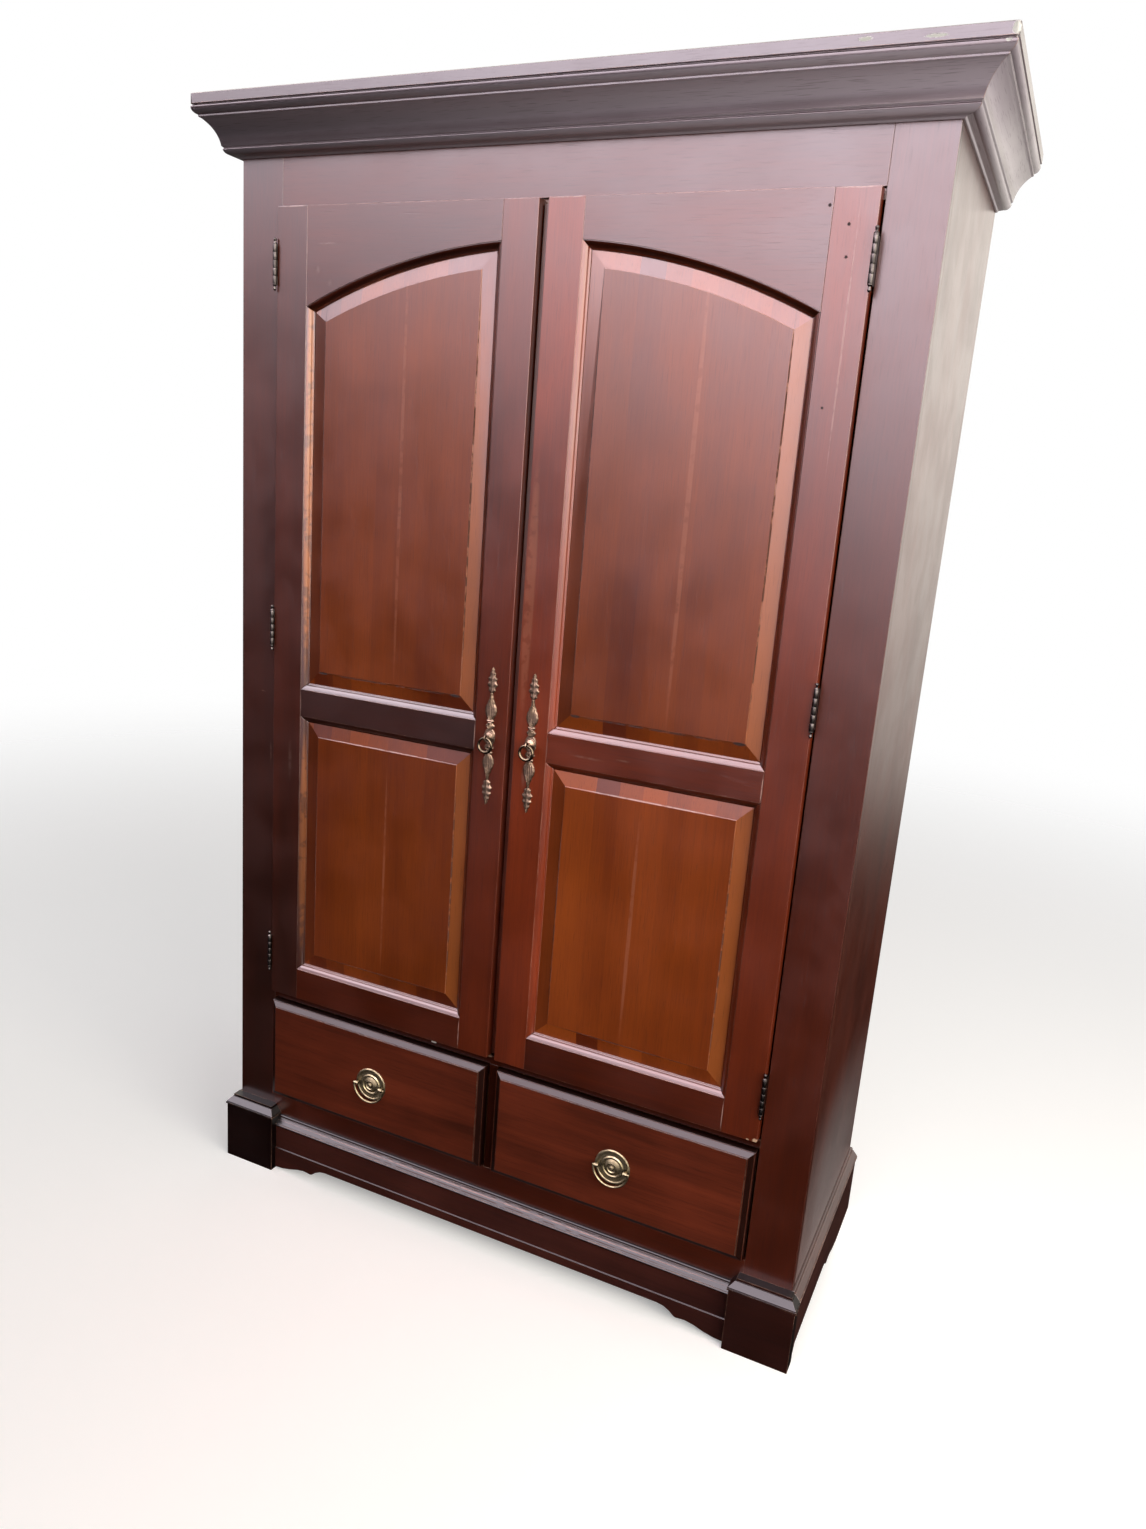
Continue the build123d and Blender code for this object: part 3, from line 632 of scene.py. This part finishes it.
def aged_metal(name, tint, roughness=0.34, dark=0.25, amount=1.0):
    """Brass or bronze with darkened patches, brighter where it is rubbed."""
    made, tree, shader = new_material(name)
    own = add(tree, "ShaderNodeTexCoord").outputs["Object"]
    old = use(tree, metal_patina(), Position=own, Amount=settings().brass.patina * amount)
    edges = use(tree, edge_wear(), Position=own, Width=METAL_EDGE, Amount=0.9)
    base = blend(tree, old["Patina"], rgba(tint), dimmed(tint, dark))
    base = blend(tree, edges["Grime and shade"], base, dimmed(tint, dark * 0.4))
    base = blend(tree, edges["Wear and highlight"], base, rgba([min(1, channel * 1.6) for channel in tint]))
    feed(tree, base, shader.inputs["Base Color"])
    rough = window(tree, old["Height"], 0.3, 0.7, roughness * 0.8, roughness * 1.4)
    feed(tree, rough, shader.inputs["Roughness"])
    shader.inputs["Metallic"].default_value = 1.0
    bump = add(tree, "ShaderNodeBump", Strength=0.25, Distance=0.0003, Height=old["Height"])
    feed(tree, bump.outputs[0], shader.inputs["Normal"])
    return made


def node(name):
    """The CAD node's object; an unknown name stops the operator."""
    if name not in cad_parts:
        raise RuntimeError(f"the frame has no node called {name}")
    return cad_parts[name]


def dress(name, material):
    """Give a CAD node its material."""
    piece = node(name)
    for holder in piece.material_slots:
        holder.material = material
    return piece


def ease(piece, radius, angle=30.0):
    """Round a piece's sharp edges a little."""
    weld = piece.modifiers.new("Join corners", "WELD")
    weld.merge_threshold = 0.00001
    bevel = piece.modifiers.new("Eased edges", "BEVEL")
    bevel.width = radius
    bevel.segments = 3
    bevel.limit_method = "ANGLE"
    bevel.angle_limit = math.radians(angle)
    bevel.harden_normals = True
    bevel.use_clamp_overlap = True


# ---------------------------------------------------------------- wooden pieces

def finish_boards(boards, dark, light, **look):
    """Finish several boards, given as (node, grain), each with a figure of its own."""
    for seed, (name, grain) in enumerate(boards):
        # Partly the board's stain, partly painted light and shade that make it darker or lighter as the light
        # falls on it
        stain = STAIN_AND_SHADE.get(name, 1.0)
        tones = [[channel * stain for channel in tone] for tone in (dark, light)]
        marks = MARKS.get(name, ())
        wood = lacquered_wood("Wood " + name, *tones, grain, seed + 1, marks=marks, **look)
        ease(dress(name, wood), settings().wood.eased)


class ARMOIRE_OT_case(bpy.types.Operator):
    """Finish the face frame and the side panels"""
    bl_idname = "armoire.case"
    bl_label = "Case"

    def execute(self, context):
        wood = settings().wood
        boards = [("stile_left", "Z"), ("stile_right", "Z"), ("frieze_rail", "X"), ("bottom_rail", "X"),
                  ("side_panel_left", "Z"), ("side_panel_right", "Z")]
        finish_boards(boards, wood.case_dark, wood.case_light)
        return {"FINISHED"}


class ARMOIRE_OT_cornice(bpy.types.Operator):
    """Finish the cornice"""
    bl_idname = "armoire.cornice"
    bl_label = "Cornice"

    def execute(self, context):
        wood = settings().wood
        boards = [("crown_front", "X"), ("crown_left", "Y"), ("crown_right", "Y"), ("cornice_top", "X")]
        finish_boards(boards, wood.cornice_dark, wood.cornice_light, bloom=wood.bloom)
        return {"FINISHED"}


class ARMOIRE_OT_base(bpy.types.Operator):
    """Finish the feet, the apron and the side bases"""
    bl_idname = "armoire.base"
    bl_label = "Base"

    def execute(self, context):
        wood = settings().wood
        front = [("apron", "X"), ("apron_moulding", "X"), ("foot_left", "X"), ("foot_right", "X")]
        finish_boards(front, wood.base_dark, wood.base_light, shine=0.45, rim=0.5)
        finish_boards([("base_left", "Y"), ("base_right", "Y")], wood.base_dark, wood.base_light)
        return {"FINISHED"}


class ARMOIRE_OT_doors(bpy.types.Operator):
    """Finish the door frames and the raised panels"""
    bl_idname = "armoire.doors"
    bl_label = "Doors"

    def execute(self, context):
        wood = settings().wood
        grains = {"hinge_stile": "Z", "meeting_stile": "Z", "top_rail": "X", "mid_rail": "X",
                  "bottom_rail": "X"}
        frames = [(f"door_{side}_{part}", grain) for side in SIDES for part, grain in grains.items()]
        frames.append(("door_right_meeting_strip", "Z"))
        finish_boards(frames, wood.case_dark, wood.case_light)
        panels = [(f"door_{side}_{part}_panel", "Z") for side in SIDES for part in ("upper", "lower")]
        finish_boards(panels, wood.panel_dark, wood.panel_light, stave=wood.stave, stave_contrast=0.22,
                      end_contrast=1.6, streak=0.6, cloud=1.5, border=wood.border)
        return {"FINISHED"}


class ARMOIRE_OT_drawers(bpy.types.Operator):
    """Finish the drawer fronts and the pale drawer boxes"""
    bl_idname = "armoire.drawers"
    bl_label = "Drawers"

    def execute(self, context):
        wood = settings().wood
        fronts = [(f"drawer_{side}_front", "X") for side in SIDES]
        finish_boards(fronts, wood.drawer_dark, wood.drawer_light, shine=0.4, rim=0.25, streak=1.9, cloud=1.8)
        grains = {"sides": "Y", "back": "X", "bottom": "X"}
        boxes = [(f"drawer_{side}_{part}", grain) for side in SIDES for part, grain in grains.items()]
        finish_boards(boxes, wood.raw_dark, wood.raw_light, wear=0.3, gloss=1.6)
        return {"FINISHED"}


class ARMOIRE_OT_inside(bpy.types.Operator):
    """Finish the boards inside and the clothes rail"""
    bl_idname = "armoire.inside"
    bl_label = "Inside"

    def execute(self, context):
        wood = settings().wood
        edges = [("deck_board", "X"), ("bottom_board", "X"), ("centre_partition", "Z")]
        finish_boards(edges, wood.case_dark, wood.case_light, shine=0.25)
        boards = [("back_panel", "Z"), ("carcass_top", "X"), ("door_stop", "X"), ("hat_shelf", "X")]
        finish_boards(boards, wood.inside_dark, wood.inside_light, wear=0.4, gloss=1.3)
        steel = aged_metal("Plated steel", settings().brass.steel, 0.22, 0.6, 0.3)
        for name in ("clothes_rail", "rail_sockets"):
            dress(name, steel)
        return {"FINISHED"}


# ---------------------------------------------------------------- metal pieces

# Upper half of the door plate's outline: height above its middle and half width, in millimetres
PLATE_EDGE = (
    (0, 10.5), (6, 10.2), (11, 8.0), (14, 5.4), (17, 7.8), (20, 9.0), (23, 6.0), (25, 4.6), (27, 7.2),
    (29, 7.2), (31, 4.8), (34, 7.0), (40, 10.2), (46, 11.2), (52, 10.2), (60, 6.8), (68, 3.6), (74, 2.5),
    (77, 2.4), (79, 4.4), (81, 6.8), (85, 5.8), (91, 9.8), (96.5, 7.0), (101.5, 8.6), (106, 5.0),
    (110.5, 5.8), (115, 2.6), (117.5, 3.0), (120, 1.8), (122, 0.4))
PLATE_TOP = PLATE_EDGE[-1][0]

# Heights above the plate's middle where its hub, neck, collar and fluted vase end and its crown begins
HUB_END = 14
NECK_END = 24.5
COLLAR_END = 31
VASE_END = 77

# Where the left and right door plates have their middles: out from X = 0, and up
PULL_OUT = 0.040
PULL_UP = 1.016

# The rosette round the ring's eye, as (radius, distance out) in millimetres
ROSETTE = (
    (10.4, 0), (10.4, 2.6), (9.6, 3.4), (8.4, 3.0), (7.4, 3.6), (6.2, 5.0), (4.0, 6.0), (3.2, 7.0),
    (2.8, 8.6), (3.4, 9.4), (3.4, 10.2), (2.6, 11.2), (2.4, 12.2))

# Radius and wire of the eye, the small scroll under it and the drop ring, in millimetres
EYE_RADIUS, EYE_WIRE = 4.5, 1.35
SCROLL_RADIUS, SCROLL_WIRE = 3.0, 1.0
RING_RADIUS, RING_WIRE, RING_SWELL = 12.5, 2.1, 0.9


def eased_value(points, at):
    """Value at a place along (place, value) points, with a smooth step between neighbours."""
    for (low, first), (high, second) in zip(points, points[1:]):
        if at <= high:
            part = (at - low) / (high - low)
            return first + (second - first) * part * part * (3 - 2 * part)
    return points[-1][1]


def plate_relief(high, across):
    """Relief of the door plate in millimetres, at a height above its middle and at -1 to 1 across it."""
    up = abs(high)
    dome = math.sqrt(max(0.0, 1 - across * across))
    flutes = dome * math.cos(6 * math.pi * across)
    if up < HUB_END:
        return 1.2 + 1.4 * dome
    if up < NECK_END:
        return 1.2 + 1.8 * dome + 0.5 * flutes
    if up < COLLAR_END:
        return 1.2 + 2.2 * dome + 0.5 * math.cos(math.pi * (up - 28) / 1.6)
    if up < VASE_END:
        return 1.1 + 2.2 * dome + 0.4 * flutes
    lobe = math.cos(2 * math.pi * ((up - 81) / 10.2 - 0.35 * abs(across)))
    return 1.1 + 1.5 * dome + 0.6 * max(0.0, 1 - abs(across) / 0.3) + 0.35 * abs(across) * lobe


def grid_faces(rows, columns, closed):
    """Faces between rows of points; closed joins the last column to the first."""
    faces = []
    for row in range(rows - 1):
        for column in range(columns if closed else columns - 1):
            after = (column + 1) % columns
            first, second = row * columns, (row + 1) * columns
            faces.append((first + column, first + after, second + after, second + column))
    return faces


def relief_sheet(middle, rows=321, columns=23):
    """The door plate's moulded face, with a thin rim down to the door on its left and right."""
    points = []
    for row in range(rows):
        high = PLATE_TOP * (2 * row / (rows - 1) - 1)
        half = eased_value(PLATE_EDGE, abs(high))
        for column in range(columns):
            across = max(-1.0, min(1.0, 2 * (column - 1) / (columns - 3) - 1))
            out = -0.2 if column in (0, columns - 1) else plate_relief(high, across)
            points.append(Vector(middle) + Vector((across * half, -out, high)) / 1000)
    return points, grid_faces(rows, columns, False)


def turned(middle, profile, columns=40):
    """Turned shape on a line along Y, from a profile of (radius, distance out) in millimetres."""
    points = []
    for radius, out in profile:
        for column in range(columns):
            angle = 2 * math.pi * column / columns
            way = Vector((max(radius, 0.01) * math.cos(angle), -out, max(radius, 0.01) * math.sin(angle)))
            points.append(Vector(middle) + way / 1000)
    return points, grid_faces(len(profile), columns, True)


def hoop(middle, first, second, radius, wire, thicker=0.0, rows=56, columns=14):
    """Ring in the plane of two directions, in millimetres. The wire is thicker on the side away from
    the first direction."""
    points = []
    first, second = Vector(first), Vector(second)
    normal = first.cross(second)
    for row in range(rows + 1):
        turn = 2 * math.pi * row / rows
        out = first * math.cos(turn) + second * math.sin(turn)
        thick = wire + thicker * (1 - math.cos(turn)) / 2
        for column in range(columns):
            angle = 2 * math.pi * column / columns
            way = out * (radius + thick * math.cos(angle)) + normal * thick * math.sin(angle)
            points.append(Vector(middle) + way / 1000)
    return points, grid_faces(rows + 1, columns, True)


def new_piece(name, shapes, material, body, slot, *nodes):
    """One object from several shapes, riding on a body in place of CAD nodes."""
    points, faces = [], []
    for more, around in shapes:
        faces += [tuple(index + len(points) for index in face) for face in around]
        points += more
    mesh = bpy.data.meshes.new(name)
    mesh.from_pydata(points, [], faces)
    shape = bmesh.new()
    shape.from_mesh(mesh)
    bmesh.ops.remove_doubles(shape, verts=shape.verts, dist=0.000005)
    bmesh.ops.recalc_face_normals(shape, faces=shape.faces)
    shape.to_mesh(mesh)
    shape.free()
    mesh.shade_smooth()
    mesh.set_sharp_from_angle(angle=math.radians(50))
    mesh.materials.append(material)
    piece = bpy.data.objects.new(name, mesh)
    bpy.context.scene.collection.objects.link(piece)
    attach(piece, body)
    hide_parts(*nodes)
    return piece


class ARMOIRE_OT_hinges(bpy.types.Operator):
    """Finish the hinges"""
    bl_idname = "armoire.hinges"
    bl_label = "Hinges"

    def execute(self, context):
        bronze = aged_metal("Hinge bronze", settings().brass.hinge, 0.30, 0.35)
        for name in ("hinge_pins", "hinge_frame_leaves", "door_left_hinge_leaves", "door_right_hinge_leaves"):
            ease(dress(name, bronze), 0.0003, 40)
        return {"FINISHED"}


class ARMOIRE_OT_door_pulls(bpy.types.Operator):
    """Make the long brass door plates and their drop rings"""
    bl_idname = "armoire.door_pulls"
    bl_label = "Door pulls"

    def execute(self, context):
        plate = aged_metal("Door plate brass", settings().brass.plate, 0.42, 0.35)
        ring = aged_metal("Drop ring brass", settings().brass.ring, 0.25, 0.3)
        ahead, across, up = (0, 1, 0), (1, 0, 0), (0, 0, 1)
        for side, way in SIDES.items():
            middle = Vector((PULL_OUT * way, DOOR_FACE / 1000, PULL_UP))
            centre = middle + Vector((0, -0.016, 0))
            eye = hoop(centre, ahead, up, EYE_RADIUS, EYE_WIRE, rows=32)
            below = middle + Vector((0, -0.003, -0.0195))
            scroll = hoop(below, up, across, SCROLL_RADIUS, SCROLL_WIRE, rows=32)
            shapes = [relief_sheet(middle), turned(middle, ROSETTE), eye, scroll]
            new_piece(f"door_plate_{side}", shapes, plate, f"door_{side}", "door_pull_brass",
                      f"door_{side}_escutcheon")
            hanging = centre - Vector((0, 0, RING_RADIUS / 1000))
            new_piece(f"door_ring_{side}", [hoop(hanging, up, across, RING_RADIUS, RING_WIRE, RING_SWELL)],
                      ring, f"drop_ring_{side}", "door_pull_brass", f"door_{side}_drop_ring")
        return {"FINISHED"}


class ARMOIRE_OT_drawer_pulls(bpy.types.Operator):
    """Finish the round drawer plates and their bails"""
    bl_idname = "armoire.drawer_pulls"
    bl_label = "Drawer pulls"

    def execute(self, context):
        brass = aged_metal("Drawer pull brass", settings().brass.bail, 0.40, 0.4)
        for side in SIDES:
            dress(f"drawer_{side}_bail_plate", brass)
            dress(f"drawer_{side}_bail", brass)
        return {"FINISHED"}


# ---------------------------------------------------------------- stage

def make_camera(stage):
    """Camera with its turn, tilt and roll measured from a level view along +Y."""
    data = bpy.data.cameras.new("Camera")
    data.lens = stage.lens
    data.clip_end = 100
    camera = bpy.data.objects.new("Camera", data)
    bpy.context.scene.collection.objects.link(camera)
    level = math.cos(stage.tilt)
    ahead = Vector((-math.sin(stage.turn) * level, math.cos(stage.turn) * level, math.sin(stage.tilt)))
    side = Vector((math.cos(stage.turn), math.sin(stage.turn), 0))
    up = side.cross(ahead)
    right = side * math.cos(stage.roll) + up * math.sin(stage.roll)
    top = up * math.cos(stage.roll) - side * math.sin(stage.roll)
    pose = Matrix((right, top, -ahead)).transposed().to_4x4()
    pose.translation = Vector(stage.place)
    camera.matrix_world = pose
    bpy.context.scene.camera = camera


def make_floor(stage):
    """Round pale floor that fades out far from the armoire."""
    mesh = bpy.data.meshes.new("Floor")
    shape = bmesh.new()
    bmesh.ops.create_circle(shape, cap_ends=True, radius=stage.floor_size, segments=128)
    shape.to_mesh(mesh)
    shape.free()
    floor = bpy.data.objects.new("Floor", mesh)
    floor.location.z = -0.0005
    bpy.context.scene.collection.objects.link(floor)
    made = bpy.data.materials.new("Pale floor")
    made.use_nodes = True
    tree = made.node_tree
    tree.nodes.clear()
    seen = add(tree, "ShaderNodeLightPath").outputs["Is Camera Ray"]
    pale = blend(tree, seen, dimmed(stage.floor_colour, 0.02), rgba(stage.floor_colour))
    matt = add(tree, "ShaderNodeBsdfDiffuse", Color=pale)
    glow = add(tree, "ShaderNodeEmission", Color=rgba(stage.floor_colour),
               Strength=calc(tree, "MULTIPLY", seen, 0.30))
    lit = add(tree, "ShaderNodeAddShader")
    tree.links.new(matt.outputs[0], lit.inputs[0])
    tree.links.new(glow.outputs[0], lit.inputs[1])
    clear = add(tree, "ShaderNodeBsdfTransparent")
    far = vector_calc(tree, "LENGTH", add(tree, "ShaderNodeTexCoord").outputs["Object"])
    fading = window(tree, far, 0.22 * stage.floor_size, 0.6 * stage.floor_size)
    mixed = add(tree, "ShaderNodeMixShader", Fac=fading)
    tree.links.new(lit.outputs[0], mixed.inputs[1])
    tree.links.new(clear.outputs[0], mixed.inputs[2])
    output = add(tree, "ShaderNodeOutputMaterial")
    tree.links.new(mixed.outputs[0], output.inputs["Surface"])
    mesh.materials.append(made)


def make_sky(stage):
    """White surroundings whose light is dimmer below the level and on the left, with a brighter front
    that only gloss sees."""
    world = bpy.data.worlds.new("Studio")
    bpy.context.scene.world = world
    world.use_nodes = True
    tree = world.node_tree
    tree.nodes.clear()
    way = add(tree, "ShaderNodeTexCoord").outputs["Generated"]
    parts = add(tree, "ShaderNodeSeparateXYZ", Vector=way).outputs
    leaning = calc(tree, "MULTIPLY_ADD", calc(tree, "MINIMUM", parts["X"], 0.06), 0.42, parts["Z"])
    behind = window(tree, parts["Y"], -0.3, 0.4)
    warm = calc(tree, "MAXIMUM", behind, window(tree, parts["X"], 0.0, 0.5))
    rise = window(tree, leaning, calc(tree, "MULTIPLY_ADD", behind, -0.18, -0.30),
                  calc(tree, "MULTIPLY_ADD", behind, 0.12, 0.17), 0.04, 1.0)
    rise = calc(tree, "POWER", rise, calc(tree, "MULTIPLY_ADD", behind, -1.0, 2.0))
    mirror = calc(tree, "MULTIPLY_ADD", behind, -0.85 * stage.mirror, stage.mirror)
    tint = blend(tree, warm, (1.0, 0.88, 0.98, 1), (1.0, 0.93, 0.85, 1))
    gloss = add(tree, "ShaderNodeBackground", Color=tint, Strength=calc(tree, "MULTIPLY", rise, mirror))
    spread = window(tree, leaning, -0.35, 0.6, 0.02, 1.0)
    sideways = window(tree, parts["X"], -0.9, 0.9, 0.35, 1.65)
    soft = add(tree, "ShaderNodeBackground", Color=(1, 0.98, 0.97, 1),
               Strength=calc(tree, "MULTIPLY", calc(tree, "MULTIPLY", spread, sideways), stage.sky))
    plain = add(tree, "ShaderNodeBackground", Color=(1, 1, 1, 1), Strength=1.0)
    ray = add(tree, "ShaderNodeLightPath").outputs
    first = add(tree, "ShaderNodeMixShader", Fac=ray["Is Glossy Ray"])
    second = add(tree, "ShaderNodeMixShader", Fac=ray["Is Camera Ray"])
    output = add(tree, "ShaderNodeOutputWorld")
    for made, socket in ((soft, first.inputs[1]), (gloss, first.inputs[2]), (first, second.inputs[1]),
                         (plain, second.inputs[2]), (second, output.inputs["Surface"])):
        tree.links.new(made.outputs[0], socket)


def make_light(name, place, aim, size, power, tint):
    """Square soft light at a place, pointed at another."""
    data = bpy.data.lights.new(name, "AREA")
    data.size = size
    data.energy = power
    data.color = tint
    light = bpy.data.objects.new(name, data)
    light.location = place
    light.rotation_euler = (Vector(aim) - Vector(place)).to_track_quat("-Z", "Y").to_euler()
    light.visible_camera = False
    light.visible_glossy = False
    bpy.context.scene.collection.objects.link(light)


class ARMOIRE_OT_stage(bpy.types.Operator):
    """Make the camera, the floor and the lights"""
    bl_idname = "armoire.stage"
    bl_label = "Stage"

    def execute(self, context):
        stage = settings().stage
        make_camera(stage)
        make_floor(stage)
        make_sky(stage)
        make_light("Right light", place=(3.2, -1.0, 1.25), aim=(0.4, -0.2, 1.1), size=1.2, power=stage.right,
                   tint=(1.0, 0.90, 0.76))
        make_light("Side light", place=(2.2, -1.8, 1.45), aim=(0, -0.2, 1.0), size=1.4, power=stage.key,
                   tint=(1.0, 0.95, 0.88))
        context.scene.view_settings.view_transform = "Standard"
        return {"FINISHED"}


# ---------------------------------------------------------------- add-on

OPERATORS = (ARMOIRE_OT_case, ARMOIRE_OT_cornice, ARMOIRE_OT_base, ARMOIRE_OT_doors, ARMOIRE_OT_drawers,
             ARMOIRE_OT_inside, ARMOIRE_OT_hinges, ARMOIRE_OT_door_pulls, ARMOIRE_OT_drawer_pulls,
             ARMOIRE_OT_stage)


class ARMOIRE_PT_sidebar(bpy.types.Panel):
    """Lists the armoire's pieces and their settings"""
    bl_idname = "ARMOIRE_PT_sidebar"
    bl_label = "Armoire"
    bl_space_type = "VIEW_3D"
    bl_region_type = "UI"
    bl_category = "Armoire"

    def draw(self, context):
        column = self.layout.column()
        for operator in OPERATORS:
            column.operator(operator.bl_idname)
        for part in (context.scene.armoire.wood, context.scene.armoire.brass, context.scene.armoire.stage):
            box = column.box()
            for name in type(part).__annotations__:
                box.prop(part, name)


CLASSES = (ArmoireWood, ArmoireBrass, ArmoireStage, ArmoireSettings, *OPERATORS, ARMOIRE_PT_sidebar)


def register():
    for kind in CLASSES:
        bpy.utils.register_class(kind)
    bpy.types.Scene.armoire = PointerProperty(type=ArmoireSettings)


def unregister():
    del bpy.types.Scene.armoire
    for kind in reversed(CLASSES):
        bpy.utils.unregister_class(kind)


def main():
    register()
    for operator in OPERATORS:
        group, name = operator.bl_idname.split(".")
        getattr(getattr(bpy.ops, group), name)()


if __name__ == "__main__":
    main()
